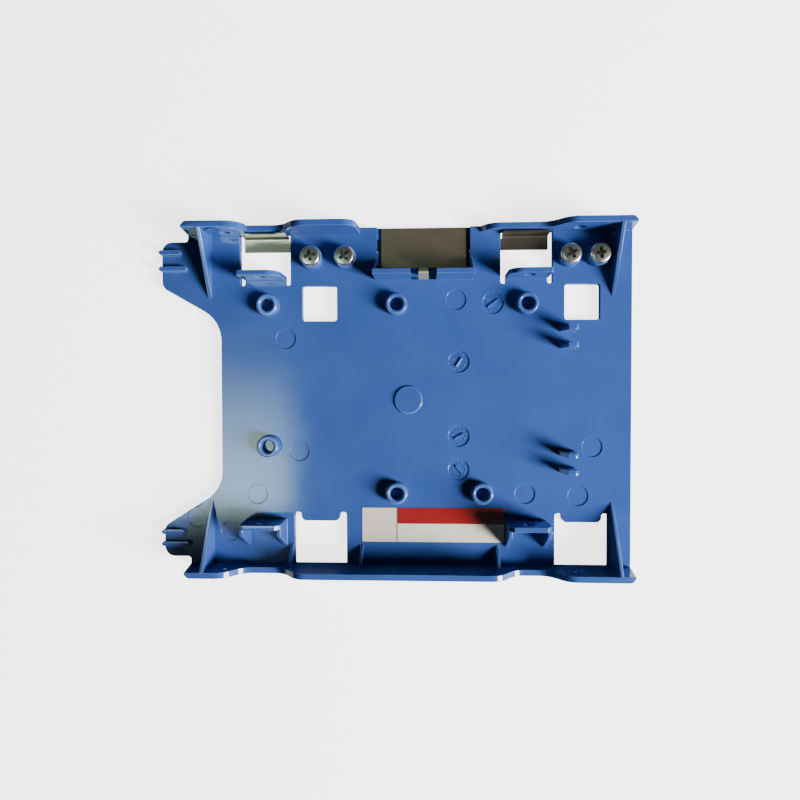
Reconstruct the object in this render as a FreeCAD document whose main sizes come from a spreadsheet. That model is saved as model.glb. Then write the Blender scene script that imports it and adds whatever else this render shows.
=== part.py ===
import FreeCAD, Part
import os
import Sketcher
from types import SimpleNamespace

# Hard drive caddy: a moulded tray that carries a small drive in a larger bay.
# X runs from the ears to the front edge, +Y is the side with the grounding strip, Z is up.

# Driving sizes in millimetres and fractions, one row of the sheet each
SIZES = [
    # Side walls and floor
    ("overall_width", 101.2),
    ("floor_thickness", 2.0),
    ("wall_thickness", 1.75),
    ("wall_height", 12.0),
    ("access_height", 6.0),
    ("access_ahead", 5.6),
    ("access_behind_front", 3.4),
    ("access_behind_rear", 5.6),
    ("ramp_run", 5.0),
    ("ramp_round", 5.5),
    ("wall_end_slope", 1.5),
    ("wall_round", 3.0),
    ("end_bevel", 1.1),
    ("rear_margin", 13.4),
    ("wall_tail", 9.7),
    # Holes that fix the tray in its bay
    ("bay_shift", 1.8),
    ("bay_hole_pitch", 101.6),
    ("bay_hole_height", 6.35),
    ("bay_hole_diameter", 3.2),
    ("lobe_reach", 6.3),
    ("lobe_thickness", 0.4),
    # Ears behind the floor
    ("ear_reach", 8.3),
    ("ear_inset", 3.7),
    ("ear_width_strip", 13.4),
    ("ear_slant_strip", 10.0),
    ("ear_width_label", 9.2),
    ("ear_slant_label", 11.0),
    ("ear_round", 3.0),
    ("ear_sweep", 10.0),
    ("rib_overhang", 0.4),
    ("rib_height", 1.6),
    ("rib_width", 1.4),
    ("rib_nose", 0.45),
    ("rib_inset_strip", 3.3),
    ("rib_pitch_strip", 4.8),
    ("rib_inset_label", 4.1),
    ("rib_pitch_label", 3.6),
    ("rib_short", 6.5),
    ("rib_long", 8.3),
    # Drive, its screw tabs and its stop
    ("stop_setback", 20.7),
    ("drive_hole_inset", 9.6),
    ("drive_hole_pitch", 76.6),
    ("drive_hole_rise", 3.0),
    ("drive_hole_diameter", 3.2),
    ("bay_width", 70.6),
    ("tab_width", 12.0),
    ("tab_thickness", 1.4),
    ("tab_over", 4.0),
    ("tab_round", 4.0),
    ("tab_bevel", 1.4),
    ("slot_width", 1.5),
    ("slot_reach", 1.5),
    ("buttress_foot", 6.6),
    ("buttress_top", 1.8),
    ("buttress_thickness", 1.1),
    ("fin_inner", 15.6),
    ("fin_pitch", 4.9),
    ("fin_thickness", 1.4),
    ("fin_length", 4.6),
    ("fin_lean", 1.1),
    ("fin_height", 7.0),
    # Standoffs under the drive
    ("boss_diameter", 6.4),
    ("boss_bore", 3.7),
    ("boss_height", 3.0),
    ("boss_chamfer", 0.4),
    ("boss_shift", 0.9),
    ("boss_lead", 12.9),
    ("boss_row_strip", 27.9),
    ("boss_row_rear", 13.6),
    # Openings in the floor
    ("opening_lead", 16.1),
    ("window_length", 10.2),
    ("window_width", 10.3),
    ("window_row", 28.4),
    ("window_round", 0.8),
    ("cutout_length", 15.5),
    ("cutout_inset", 0.6),
    ("cutout_slot", 2.0),
    ("cutout_reach", 2.6),
    # Webs that brace the side walls
    ("gusset_thickness", 1.2),
    ("gusset_reach", 20.7),
    ("gusset_setback", 5.4),
    ("gusset_ahead", 6.5),
    ("brace_thickness", 0.9),
    ("brace_height", 5.0),
    ("brace_gap", 0.7),
    ("brace_behind", 0.8),
    ("brace_ahead", 4.5),
    ("brace_lead", 8.3),
    # Grounding strip and its seat
    ("contact_lead", 8.4),
    ("plate_length", 24.96),
    ("plate_gap", 1.1),
    ("plate_inset", 0.8),
    ("plate_setback", 0.25),
    ("strip_thickness", 0.5),
    ("strip_play", 0.05),
    ("keeper_thickness", 0.6),
    ("keeper_length", 3.0),
    ("arm_width", 3.3),
    ("arm_inset", 0.2),
    ("channel_gap", 0.2),
    ("arm_end_gap", 1.2),
    ("leg_end_gap", 0.5),
    ("leg_below", 0.6),
    ("riser_run", 4.0),
    ("riser_rise", 2.6),
    ("bend_radius", 0.7),
    ("finger_width", 2.8),
    ("finger_reach", 1.1),
    ("finger_lean", 1.3),
    ("notch_gap", 2.3),
    ("opening_seat", 1.4),
    ("curb_end", 0.7),
    ("curb_web_foot", 4.6),
    ("curb_web_drop", 3.0),
    ("wall_gap_front", 2.9),
    ("wall_gap_ramp", 2.75),
    ("wall_gap_rear", 5.0),
    ("wall_gap_lean", 0.8),
    # Parked screws
    ("park_inset", 9.0),
    ("park_diameter", 6.4),
    ("park_front_first", 0.268),
    ("park_front_second", 0.756),
    ("park_rear_first", 0.254),
    ("park_rear_second", 0.641),
    ("screw_diameter", 2.9),
    ("screw_play", 0.1),
    ("screw_tip", 0.5),
    ("head_diameter", 5.9),
    ("head_height", 2.0),
    ("head_round", 0.7),
    ("recess_width", 0.8),
    ("recess_length", 3.2),
    ("recess_depth", 1.2),
    # Sticker
    ("label_inset", 8.6),
    ("label_width", 10.1),
    ("label_thickness", 0.12),
    ("label_front_gap", 0.4),
    ("label_rear_gap", 4.65),
    ("label_boss_gap", 1.4),
    # Shallow moulding marks on the floor
    ("gate_diameter", 8.5),
    ("gate_height", 0.5),
    ("gate_bevel", 0.35),
    ("dial_diameter", 6.2),
    ("dial_depth", 0.3),
    ("pin_diameter", 5.9),
    ("pin_depth", 0.25),
]

doc = FreeCAD.newDocument("hard_drive_caddy")
sheet = doc.addObject("Spreadsheet::Sheet", "Sizes")
for row, (alias, number) in enumerate(SIZES, start=1):
    sheet.set("A%d" % row, alias)
    sheet.set("B%d" % row, str(number))
    sheet.setAlias("B%d" % row, alias)
doc.recompute()


class Size:
    """A size that knows its value and the expression that ties it to the sheet."""

    def __init__(self, value, text):
        self.value = float(value)
        self.text = text

    def __add__(self, other):
        other = as_size(other)
        return Size(self.value + other.value, "(%s + %s)" % (self.text, other.text))

    def __sub__(self, other):
        other = as_size(other)
        return Size(self.value - other.value, "(%s - %s)" % (self.text, other.text))

    def __mul__(self, other):
        other = as_size(other)
        return Size(self.value * other.value, "(%s * %s)" % (self.text, other.text))

    def __truediv__(self, other):
        other = as_size(other)
        return Size(self.value / other.value, "(%s / %s)" % (self.text, other.text))

    def __neg__(self):
        return Size(-self.value, "(-1 * %s)" % self.text)


def as_size(item):
    return item if isinstance(item, Size) else Size(item, "(%s)" % float(item))


S = SimpleNamespace(**{alias: Size(number, "Sizes." + alias) for alias, number in SIZES})
ZERO = as_size(0)


# Sketch and feature helpers
def new_body(name):
    body = doc.addObject("PartDesign::Body", name)
    body.Label = name
    body.AllowCompound = True
    return body


def sketch_on(body, name, role, shift=ZERO):
    """Sketch on one of the body's own planes, moved along the plane's normal."""
    sketch = body.newObject("Sketcher::SketchObject", name)
    support = [plane for plane in body.Origin.OriginFeatures if plane.Role == role][0]
    sketch.AttachmentSupport = [(support, "")]
    sketch.MapMode = "FlatFace"
    sketch.setExpression("AttachmentOffset.Base.z", shift.text)
    return sketch


def flat_sketch(body, name, height=ZERO):
    return sketch_on(body, name, "XY_Plane", height)


def side_sketch(body, name, y):
    """Sketch with X across and Z up, standing at the given Y."""
    return sketch_on(body, name, "XZ_Plane", -y)


def cross_sketch(body, name, x):
    """Sketch with Y across and Z up, standing at the given X."""
    return sketch_on(body, name, "YZ_Plane", x)


def tie(sketch, kind, geometry, point, size):
    index = sketch.addConstraint(Sketcher.Constraint(kind, geometry, point, size.value))
    sketch.setExpression("Constraints[%d]" % index, size.text)


def outline(sketch, corners):
    """Closed outline of straight lines with every corner tied to the sheet."""
    corners = [(as_size(across), as_size(up)) for across, up in corners]
    points = [FreeCAD.Vector(across.value, up.value, 0) for across, up in corners]
    first = sketch.GeometryCount
    count = len(points)
    for i in range(count):
        sketch.addGeometry(Part.LineSegment(points[i], points[(i + 1) % count]), False)
    for i in range(count):
        sketch.addConstraint(Sketcher.Constraint("Coincident", first + i, 2, first + (i + 1) % count, 1))
    for i, (across, up) in enumerate(corners):
        tie(sketch, "DistanceX", first + i, 1, across)
        tie(sketch, "DistanceY", first + i, 1, up)


def rectangle(sketch, x0, x1, y0, y1):
    outline(sketch, [(x0, y0), (x1, y0), (x1, y1), (x0, y1)])


def circle(sketch, x, y, diameter):
    x = as_size(x)
    y = as_size(y)
    centre = FreeCAD.Vector(x.value, y.value, 0)
    round_one = Part.Circle(centre, FreeCAD.Vector(0, 0, 1), diameter.value / 2)
    index = sketch.addGeometry(round_one, False)
    tie(sketch, "DistanceX", index, 3, x)
    tie(sketch, "DistanceY", index, 3, y)
    bound = sketch.addConstraint(Sketcher.Constraint("Diameter", index, diameter.value))
    sketch.setExpression("Constraints[%d]" % bound, diameter.text)


def pad(body, sketch, length, backward=False, centred=False):
    feature = body.newObject("PartDesign::Pad", sketch.Name + "_pad")
    feature.Profile = sketch
    feature.setExpression("Length", length.text)
    feature.Reversed = backward
    feature.SideType = "Symmetric" if centred else "One side"
    sketch.Visibility = False
    doc.recompute()
    return feature


def pocket(body, sketch, depth, backward=False):
    feature = body.newObject("PartDesign::Pocket", sketch.Name + "_cut")
    feature.Profile = sketch
    feature.setExpression("Length", depth.text)
    feature.Reversed = backward
    sketch.Visibility = False
    doc.recompute()
    return feature


def straight_edges(shape, axis, spots, keep=None):
    """Names of straight edges that run along an axis through spots in the other two directions."""
    free = "XYZ".index(axis)
    others = [i for i in range(3) if i != free]
    names = []
    for spot in spots:
        spot = [as_size(part).value for part in spot]
        found = []
        for number, edge in enumerate(shape.Edges, start=1):
            if len(edge.Vertexes) != 2 or edge.Curve.TypeId != "Part::GeomLine":
                continue
            start = edge.Vertexes[0].Point
            end = edge.Vertexes[1].Point
            middle = (start + end) / 2
            along = abs(end[free] - start[free])
            near = all(abs(middle[i] - spot[k]) < 1e-4 for k, i in enumerate(others))
            if near and abs(along - edge.Length) < 1e-6 and (keep is None or keep(middle)):
                found.append("Edge%d" % number)
        if not found:
            raise RuntimeError("no %s edge at %s" % (axis, spot))
        names += found
    return names


def joining_edges(shape, pairs):
    """Names of the straight edges that join the given pairs of points."""
    names = []
    for pair in pairs:
        start, end = [FreeCAD.Vector(*[as_size(part).value for part in point]) for point in pair]
        for number, edge in enumerate(shape.Edges, start=1):
            points = [vertex.Point for vertex in edge.Vertexes]
            if len(points) != 2:
                continue
            forward = points[0].distanceToPoint(start) + points[1].distanceToPoint(end)
            backward = points[0].distanceToPoint(end) + points[1].distanceToPoint(start)
            if min(forward, backward) < 1e-4:
                names.append("Edge%d" % number)
    if len(names) != len(pairs):
        raise RuntimeError("%d edges found for %d pairs" % (len(names), len(pairs)))
    return names


def round_edges(shape, z, diameter, keep=None):
    """Names of full circles of one diameter that lie flat at one height."""
    names = []
    for number, edge in enumerate(shape.Edges, start=1):
        if edge.Curve.TypeId != "Part::GeomCircle" or len(edge.Vertexes) != 1:
            continue
        centre = edge.Curve.Center
        level = abs(centre.z - z.value) < 1e-4
        if level and abs(2 * edge.Curve.Radius - diameter.value) < 1e-4 and (keep is None or keep(centre)):
            names.append("Edge%d" % number)
    return names


def fillet(body, base, names, radius):
    feature = body.newObject("PartDesign::Fillet", base.Name + "_round")
    feature.Base = (base, names)
    feature.setExpression("Radius", radius.text)
    doc.recompute()
    return feature


def chamfer(body, base, names, size):
    feature = body.newObject("PartDesign::Chamfer", base.Name + "_bevel")
    feature.Base = (base, names)
    feature.setExpression("Size", size.text)
    doc.recompute()
    return feature


# Stations along the length, from the front edge back to the rib tips
drive_span = S.stop_setback + S.drive_hole_inset + S.drive_hole_pitch
overall_length = drive_span + S.rear_margin + S.wall_tail + S.ear_reach
front = overall_length / 2
stop = front - S.stop_setback
hole_front = stop - S.drive_hole_inset
hole_rear = hole_front - S.drive_hole_pitch
floor_rear = hole_rear - S.rear_margin
wall_rear = floor_rear - S.wall_tail
rib_end = wall_rear - S.ear_reach
ear_end = rib_end + S.rib_overhang
drive_middle = (hole_front + hole_rear) / 2
bay_front = drive_middle + S.bay_shift + S.bay_hole_pitch / 2
bay_rear = drive_middle + S.bay_shift - S.bay_hole_pitch / 2
gusset_front = front - S.gusset_setback
gusset_rear = wall_rear + S.gusset_ahead
contact = drive_middle + S.contact_lead

# Stations across the width
half_width = S.overall_width / 2
wall_in = half_width - S.wall_thickness
wall_mid = half_width - S.wall_thickness / 2
ear_edge = half_width - S.ear_inset
ear_tip_strip = ear_edge - S.ear_width_strip
ear_root_strip = ear_tip_strip - S.ear_slant_strip
ear_tip_label = ear_edge - S.ear_width_label
ear_root_label = ear_tip_label - S.ear_slant_label
gusset_foot = half_width - S.gusset_reach
label_edge = half_width - S.label_inset
boss_row_label = label_edge - S.label_width - S.label_boss_gap - S.boss_diameter / 2
bay_half = S.bay_width / 2
tab_back = bay_half + S.tab_thickness
leg_outer = wall_in - S.lobe_thickness - S.strip_play
leg_inner = leg_outer - S.strip_thickness
arm_outer = leg_inner - S.bend_radius - S.arm_inset
arm_inner = arm_outer - S.arm_width

# Heights
floor_top = S.floor_thickness
foot = floor_top / 2
boss_top = floor_top + S.boss_height
drive_hole_height = boss_top + S.drive_hole_rise
tab_top = drive_hole_height + S.tab_over
strip_low = S.keeper_thickness + S.strip_play
strip_high = strip_low + S.strip_thickness

# Openings in the floor
cut_half = S.tab_width / 2 + S.slot_width
plate_rear = contact - S.plate_length / 2
plate_front = contact + S.plate_length / 2
seat_rear = plate_rear - S.plate_gap
seat_front = plate_front + S.plate_gap
seat_inner = tab_back + S.opening_seat
slot_end = bay_half - S.slot_reach
ledge = bay_half + S.cutout_inset
ledge_slot = ledge - S.cutout_reach
cutout_rear = hole_rear + S.opening_lead - S.cutout_length / 2
cutout_rear_end = cutout_rear + S.cutout_length
notch_half = S.finger_width / 2 + S.notch_gap

# Standoffs: six hollow ones under the drive and four that hold the spare screws
boss_back = hole_rear + S.boss_shift
boss_middle = (hole_front + boss_back) / 2
drive_bosses = [
    (boss_back, S.boss_row_strip),
    (boss_middle, S.boss_row_strip),
    (hole_front, S.boss_row_strip),
    (boss_back, -S.boss_row_rear),
    (boss_middle, -boss_row_label),
    (hole_front - S.boss_lead, -boss_row_label),
]
park_row = half_width - S.park_inset
park_bore = S.screw_diameter + S.screw_play
front_span = gusset_front - S.gusset_thickness / 2 - hole_front - cut_half
rear_span = seat_rear - hole_rear - cut_half
park_bosses = [
    (hole_rear + cut_half + rear_span * S.park_rear_first, park_row),
    (hole_rear + cut_half + rear_span * S.park_rear_second, park_row),
    (hole_front + cut_half + front_span * S.park_front_first, park_row),
    (hole_front + cut_half + front_span * S.park_front_second, park_row),
]

# Tray floor with its two ears
floor = new_body("floor")
plan = flat_sketch(floor, "plan")
outline(plan, [
    (front, -half_width),
    (front, half_width),
    (wall_rear, half_width),
    (wall_rear, ear_edge),
    (ear_end, ear_edge),
    (ear_end, ear_tip_strip),
    (floor_rear, ear_root_strip),
    (floor_rear, -ear_root_label),
    (ear_end, -ear_tip_label),
    (ear_end, -ear_edge),
    (wall_rear, -ear_edge),
    (wall_rear, -half_width),
])
base = pad(floor, plan, S.floor_thickness)
ear_corners = [
    (ear_end, ear_edge),
    (ear_end, ear_tip_strip),
    (ear_end, -ear_tip_label),
    (ear_end, -ear_edge),
]
base = fillet(floor, base, straight_edges(base.Shape, "Z", ear_corners), S.ear_round)
ear_roots = [(floor_rear, ear_root_strip), (floor_rear, -ear_root_label)]
base = fillet(floor, base, straight_edges(base.Shape, "Z", ear_roots), S.ear_sweep)
ear_notches = [(wall_rear, ear_edge), (wall_rear, -ear_edge)]
base = fillet(floor, base, straight_edges(base.Shape, "Z", ear_notches), S.wall_round / 3)
floor_corners = [(x, half_width * side) for x in (front, wall_rear) for side in (1, -1)]
base = chamfer(floor, base, straight_edges(base.Shape, "Z", floor_corners), S.end_bevel)

# Cut-outs that free the tabs, square windows and the seat of the grounding strip
openings = flat_sketch(floor, "openings")
for hole in (hole_rear, hole_front):
    left = hole - cut_half
    right = hole + cut_half
    outline(openings, [
        (left, slot_end),
        (left + S.slot_width, slot_end),
        (left + S.slot_width, tab_back),
        (right - S.slot_width, tab_back),
        (right - S.slot_width, slot_end),
        (right, slot_end),
        (right, wall_in),
        (left, wall_in),
    ])
    centre = hole + S.opening_lead
    left = centre - S.cutout_length / 2
    right = centre + S.cutout_length / 2
    outline(openings, [
        (left, -wall_in),
        (right, -wall_in),
        (right, -ledge_slot),
        (right - S.cutout_slot, -ledge_slot),
        (right - S.cutout_slot, -ledge),
        (left + S.cutout_slot, -ledge),
        (left + S.cutout_slot, -ledge_slot),
        (left, -ledge_slot),
    ])
    rectangle(
        openings,
        centre - S.window_length / 2,
        centre + S.window_length / 2,
        S.window_row - S.window_width / 2,
        S.window_row + S.window_width / 2,
    )
outline(openings, [
    (seat_rear, half_width + 1),
    (seat_rear, seat_inner),
    (contact - notch_half, seat_inner),
    (contact - notch_half, bay_half),
    (contact + notch_half, bay_half),
    (contact + notch_half, seat_inner),
    (seat_front, seat_inner),
    (seat_front, half_width + 1),
])
for x, y in park_bosses:
    circle(openings, x, y, park_bore)
base = pocket(floor, openings, S.floor_thickness * 1.5, backward=True)
slot_corners = []
window_corners = []
ledge_corners = []
for hole in (hole_rear, hole_front):
    for side in (-1, 1):
        outer = hole + cut_half * side
        slot_corners += [(outer, slot_end), (outer - S.slot_width * side, slot_end)]
        centre = hole + S.opening_lead
        window_edge = centre + S.window_length * (side / 2)
        window_corners += [(window_edge, S.window_row - S.window_width / 2)]
        window_corners += [(window_edge, S.window_row + S.window_width / 2)]
        cut_edge = centre + S.cutout_length * (side / 2)
        window_corners += [(cut_edge, -ledge_slot), (cut_edge - S.cutout_slot * side, -ledge_slot)]
        ledge_corners += [(cut_edge - S.cutout_slot * side, -ledge)]
base = fillet(floor, base, straight_edges(base.Shape, "Z", slot_corners), S.slot_width * 0.45)
base = fillet(floor, base, straight_edges(base.Shape, "Z", window_corners), S.window_round)
base = fillet(floor, base, straight_edges(base.Shape, "Z", ledge_corners), S.wall_round / 2)

# Thin bed under the wide plate of the strip and under its finger
bed = flat_sketch(floor, "bed")
outline(bed, [
    (seat_rear, half_width),
    (seat_rear, seat_inner),
    (contact - notch_half, seat_inner),
    (contact - notch_half, bay_half),
    (contact + notch_half, bay_half),
    (contact + notch_half, seat_inner),
    (seat_front, seat_inner),
    (seat_front, half_width),
])
base = pad(floor, bed, S.keeper_thickness)

# Underside channel of the strip, crossed by thin keepers
channel = flat_sketch(floor, "channel")
channel_spans = [(hole_rear + cut_half, seat_rear), (seat_front, hole_front - cut_half)]
for start, end in channel_spans:
    rectangle(channel, start, end, arm_inner - S.channel_gap, arm_outer + S.channel_gap)
base = pocket(floor, channel, strip_high + S.strip_play, backward=True)
keepers = flat_sketch(floor, "keepers")
for start, end in channel_spans:
    for share in (0.25, 0.75):
        middle = start + (end - start) * share
        rectangle(
            keepers,
            middle - S.keeper_length / 2,
            middle + S.keeper_length / 2,
            arm_inner - S.channel_gap,
            arm_outer + S.channel_gap,
        )
base = pad(floor, keepers, S.keeper_thickness)

# Grip ribs on the ears
ribs = flat_sketch(floor, "ribs")
rib_rows = [
    (ear_edge - S.rib_inset_strip, S.rib_short),
    (ear_edge - S.rib_inset_strip - S.rib_pitch_strip, S.rib_long),
    (-ear_edge + S.rib_inset_label, S.rib_long),
    (-ear_edge + S.rib_inset_label + S.rib_pitch_label, S.rib_short),
]
for row, length in rib_rows:
    low = row - S.rib_width / 2
    high = row + S.rib_width / 2
    outline(ribs, [
        (rib_end, low + S.rib_nose),
        (rib_end + S.rib_nose, low),
        (rib_end + length - S.rib_nose, low),
        (rib_end + length, low + S.rib_nose),
        (rib_end + length, high - S.rib_nose),
        (rib_end + length - S.rib_nose, high),
        (rib_end + S.rib_nose, high),
        (rib_end, high - S.rib_nose),
    ])
base = pad(floor, ribs, floor_top + S.rib_height)

# Raised gate, sunk date dials and sunk ejector marks, as setbacks from the front edge and offsets across
GATES = [(64.7, 0.0)]
DIALS = [(40.0, 28.2), (49.9, 11.1), (49.9, -10.7), (49.9, -20.6)]
PINS = [
    (97.05, -15.15),
    (109.7, -28.0),
    (50.7, 29.2),
    (100.9, 18.1),
    (11.2, -13.8),
    (30.55, -27.6),
    (15.2, -28.1),
    (128.0, -35.05),
    (117.9, -39.2),
]
mark_kinds = [
    ("gates", GATES, S.gate_diameter, pad, S.gate_height),
    ("dials", DIALS, S.dial_diameter, pocket, S.dial_depth),
    ("pins", PINS, S.pin_diameter, pocket, S.pin_depth),
]
for name, places, diameter, shape_with, amount in mark_kinds:
    marks = flat_sketch(floor, name, floor_top)
    for setback, across in places:
        circle(marks, front - setback, across, diameter)
    base = shape_with(floor, marks, amount)
names = round_edges(base.Shape, floor_top + S.gate_height, S.gate_diameter)
floor.Tip = chamfer(floor, base, names, S.gate_bevel)

# Side walls with their low stretches in front of the drive screws
walls = new_body("walls")
gap_front = seat_front + S.wall_gap_front
gap_rear = seat_rear - S.wall_gap_rear
lobe_edge = bay_rear + S.lobe_reach
strip_front_wall = [
    (front, foot),
    (front, floor_top),
    (front - S.wall_end_slope, S.wall_height),
    (hole_front + S.access_ahead + S.ramp_run, S.wall_height),
    (hole_front + S.access_ahead, S.access_height),
    (gap_front + S.wall_gap_ramp, S.access_height),
    (gap_front, floor_top),
    (gap_front, foot),
]
strip_rear_wall = [
    (gap_rear, foot),
    (gap_rear, floor_top),
    (gap_rear - S.wall_gap_lean, S.wall_height),
    (hole_rear + S.access_ahead + S.ramp_run, S.wall_height),
    (hole_rear + S.access_ahead, S.access_height),
    (lobe_edge, S.access_height),
    (lobe_edge, S.wall_height),
    (wall_rear + S.wall_end_slope, S.wall_height),
    (wall_rear, floor_top),
    (wall_rear, foot),
]
label_wall = [
    (front, foot),
    (front, floor_top),
    (front - S.wall_end_slope, S.wall_height),
    (hole_front + S.access_ahead + S.ramp_run, S.wall_height),
    (hole_front + S.access_ahead, S.access_height),
    (hole_front - S.access_behind_front, S.access_height),
    (hole_front - S.access_behind_front - S.ramp_run, S.wall_height),
    (hole_rear + S.access_ahead + S.ramp_run, S.wall_height),
    (hole_rear + S.access_ahead, S.access_height),
    (hole_rear - S.access_behind_rear, S.access_height),
    (hole_rear - S.access_behind_rear - S.ramp_run, S.wall_height),
    (wall_rear + S.wall_end_slope, S.wall_height),
    (wall_rear, floor_top),
    (wall_rear, foot),
]
profile = side_sketch(walls, "strip_profile", half_width)
outline(profile, strip_front_wall)
outline(profile, strip_rear_wall)
base = pad(walls, profile, S.wall_thickness)
profile = side_sketch(walls, "label_profile", -half_width)
outline(profile, label_wall)
base = pad(walls, profile, S.wall_thickness, backward=True)
end_edges = []
for x, lean in ((front, -S.wall_end_slope), (wall_rear, S.wall_end_slope)):
    for side in (1, -1):
        y = half_width * side
        end_edges += [((x, y, foot), (x, y, floor_top)), ((x, y, floor_top), (x + lean, y, S.wall_height))]
base = chamfer(walls, base, joining_edges(base.Shape, end_edges), S.end_bevel)
strip_corners = strip_front_wall[3:6] + strip_rear_wall[3:5]
names = straight_edges(base.Shape, "Y", strip_corners, lambda spot: spot.y > 0)
names += straight_edges(base.Shape, "Y", label_wall[3:11], lambda spot: spot.y < 0)
base = fillet(walls, base, names, S.ramp_round)
names = straight_edges(base.Shape, "Y", strip_rear_wall[2:3], lambda spot: spot.y > 0)
base = fillet(walls, base, names, S.wall_round * 1.2)
names = straight_edges(base.Shape, "Y", strip_rear_wall[6:7], lambda spot: spot.y > 0)
base = fillet(walls, base, names, (S.wall_height - S.access_height) * 0.9)

# Round thickening behind the rear bay hole on the strip side
lobe = side_sketch(walls, "lobe", wall_in)
circle(lobe, bay_rear, S.bay_hole_height, (S.wall_height - S.bay_hole_height) * 2 - 0.2)
base = pad(walls, lobe, S.lobe_thickness)

# Bay holes through both side walls
for side, name in ((1, "bay_holes_strip"), (-1, "bay_holes_label")):
    holes = side_sketch(walls, name, half_width * side)
    circle(holes, bay_front, S.bay_hole_height, S.bay_hole_diameter)
    circle(holes, bay_rear, S.bay_hole_height, S.bay_hole_diameter)
    base = pocket(walls, holes, S.wall_thickness + S.lobe_thickness * 1.5, backward=side > 0)

# Tall webs at the four corners and small braces along the label side
for station, name in ((gusset_front, "gusset_front"), (gusset_rear, "gusset_rear")):
    web = cross_sketch(walls, name, station)
    for side in (1, -1):
        outline(web, [
            (gusset_foot * side, foot),
            (wall_mid * side, foot),
            (wall_mid * side, S.wall_height),
            (wall_in * side, S.wall_height),
            (gusset_foot * side, floor_top),
        ])
    base = pad(walls, web, S.gusset_thickness, centred=True)
brace_stations = [cutout_rear - S.brace_behind, cutout_rear_end + S.brace_ahead, hole_front - S.brace_lead]
for number, station in enumerate(brace_stations, start=1):
    web = cross_sketch(walls, "brace_%d" % number, station)
    outline(web, [
        (-label_edge - S.brace_gap, foot),
        (-wall_mid, foot),
        (-wall_mid, floor_top + S.brace_height),
        (-wall_in, floor_top + S.brace_height),
        (-label_edge - S.brace_gap, floor_top),
    ])
    base = pad(walls, web, S.brace_thickness, centred=True)
walls.Tip = base

# Drive tabs: rounded towards the middle on the strip side, bevelled and buttressed on the label side
bay = new_body("bay")
tabs = side_sketch(bay, "tabs_strip", bay_half)
for hole in (hole_rear, hole_front):
    rectangle(tabs, hole - S.tab_width / 2, hole + S.tab_width / 2, foot, tab_top)
base = pad(bay, tabs, S.tab_thickness, backward=True)
inner_corners = [(hole_rear + S.tab_width / 2, tab_top), (hole_front - S.tab_width / 2, tab_top)]
names = straight_edges(base.Shape, "Y", inner_corners, lambda spot: spot.y > 0)
base = fillet(bay, base, names, S.tab_round)
outer_corners = [(hole_rear - S.tab_width / 2, tab_top), (hole_front + S.tab_width / 2, tab_top)]
names = straight_edges(base.Shape, "Y", outer_corners, lambda spot: spot.y > 0)
base = fillet(bay, base, names, S.tab_round / 5)
tabs = side_sketch(bay, "tabs_label", -bay_half)
for hole in (hole_rear, hole_front):
    outline(tabs, [
        (hole - S.tab_width / 2, foot),
        (hole + S.tab_width / 2, foot),
        (hole + S.tab_width / 2, tab_top - S.tab_bevel),
        (hole + S.tab_width / 2 - S.tab_bevel, tab_top),
        (hole - S.tab_width / 2 + S.tab_bevel, tab_top),
        (hole - S.tab_width / 2, tab_top - S.tab_bevel),
    ])
base = pad(bay, tabs, S.tab_thickness)
buttress_high = tab_top - S.tab_bevel
for hole, name in ((hole_rear, "rear"), (hole_front, "front")):
    for side in (-1, 1):
        station = hole + (S.tab_width / 2 - S.buttress_thickness / 2) * side
        web = cross_sketch(bay, "buttress_%s_%s" % (name, "back" if side < 0 else "fore"), station)
        outline(web, [
            (-bay_half - S.tab_thickness / 2, foot),
            (-bay_half - S.tab_thickness / 2, buttress_high),
            (-tab_back - S.buttress_top, buttress_high),
            (-tab_back - S.buttress_foot, floor_top),
            (-tab_back - S.buttress_foot, foot),
        ])
        base = pad(bay, web, S.buttress_thickness, centred=True)
names = straight_edges(base.Shape, "X", [(-tab_back - S.buttress_top, buttress_high)])
base = fillet(bay, base, names, S.wall_round * 0.8)

# Curb along the contact, in two lengths with the notch of the finger between and a web at each end
curb = side_sketch(bay, "curb", bay_half)
rectangle(curb, seat_rear - S.curb_end, contact - notch_half, foot, tab_top)
rectangle(curb, contact + notch_half, seat_front + S.curb_end, foot, tab_top)
base = pad(bay, curb, S.tab_thickness, backward=True)
for name, start in (("curb_web_rear", seat_rear - S.curb_end), ("curb_web_front", seat_front)):
    web = cross_sketch(bay, name, start)
    outline(web, [
        (bay_half + S.tab_thickness / 2, foot),
        (tab_back + S.curb_web_foot, foot),
        (tab_back + S.curb_web_foot, floor_top),
        (tab_back, tab_top - S.curb_web_drop),
        (bay_half + S.tab_thickness / 2, tab_top - S.curb_web_drop),
    ])
    base = pad(bay, web, S.curb_end)

# Drive screw holes through the tabs
holes = side_sketch(bay, "drive_holes", tab_back + S.tab_thickness)
circle(holes, hole_front, drive_hole_height, S.drive_hole_diameter)
circle(holes, hole_rear, drive_hole_height, S.drive_hole_diameter)
base = pocket(bay, holes, (tab_back + S.tab_thickness) * 2, backward=True)

# Stop fins in front of the drive
for number, side in enumerate((1, -1), start=1):
    for row, name in ((S.fin_inner, "inner"), (S.fin_inner + S.fin_pitch, "outer")):
        fin = side_sketch(bay, "fin_%s_%d" % (name, number), row * side)
        outline(fin, [
            (stop, foot),
            (stop + S.fin_length, foot),
            (stop + S.fin_length, floor_top),
            (stop + S.fin_length - S.fin_lean / 2, floor_top + S.fin_height),
            (stop + S.fin_lean, floor_top + S.fin_height),
            (stop, floor_top),
        ])
        base = pad(bay, fin, S.fin_thickness, centred=True)
fin_crest = [(stop + S.fin_length - S.fin_lean / 2, floor_top + S.fin_height)]
base = fillet(bay, base, straight_edges(base.Shape, "Y", fin_crest), S.fin_lean)
bay.Tip = base

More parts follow.
